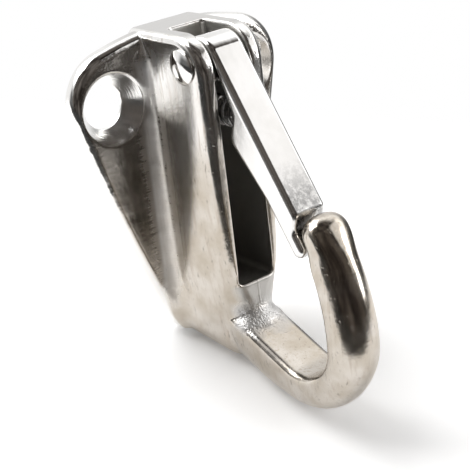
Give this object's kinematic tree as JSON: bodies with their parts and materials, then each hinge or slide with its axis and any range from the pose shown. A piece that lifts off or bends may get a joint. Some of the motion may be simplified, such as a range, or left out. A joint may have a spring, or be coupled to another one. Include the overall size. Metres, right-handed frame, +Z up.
{
  "type": "fender hook",
  "caption": "Wall-mounted snap hook: a shield-shaped plate with two countersunk ears, a slotted channel, an open hook and a sprung gate on a riveted pin.",
  "frame": {"origin": "on the flat mounting face, midway between the two screw holes", "axes": "+Y out of the mounting face into the wall, +Z up, the hook reaches out along -Y, +X across the two ears"},
  "size_m": [0.0394, 0.0408, 0.0571],
  "materials": {
    "cast_steel": "investment-cast stainless steel, tumble polished to a satin shine",
    "polished_steel": "mirror-polished stainless steel",
    "spring_steel": "drawn stainless spring wire"
  },
  "bodies": {
    "hook": {"hook_body": "cast_steel", "pivot_pin": "polished_steel", "gate_spring": "spring_steel"},
    "gate": {"gate": "polished_steel"}
  },
  "joints": [
    {"name": "gate_hinge", "type": "hinge", "parent": "hook", "child": "gate", "pos_m": [0, -0.0128, 0.006], "axis": [1, 0, 0], "range_deg": [0, 30], "stiffness_Nm_per_rad": 0.04, "springref_deg": -28.65, "deforming": ["gate_spring"]}
  ]
}
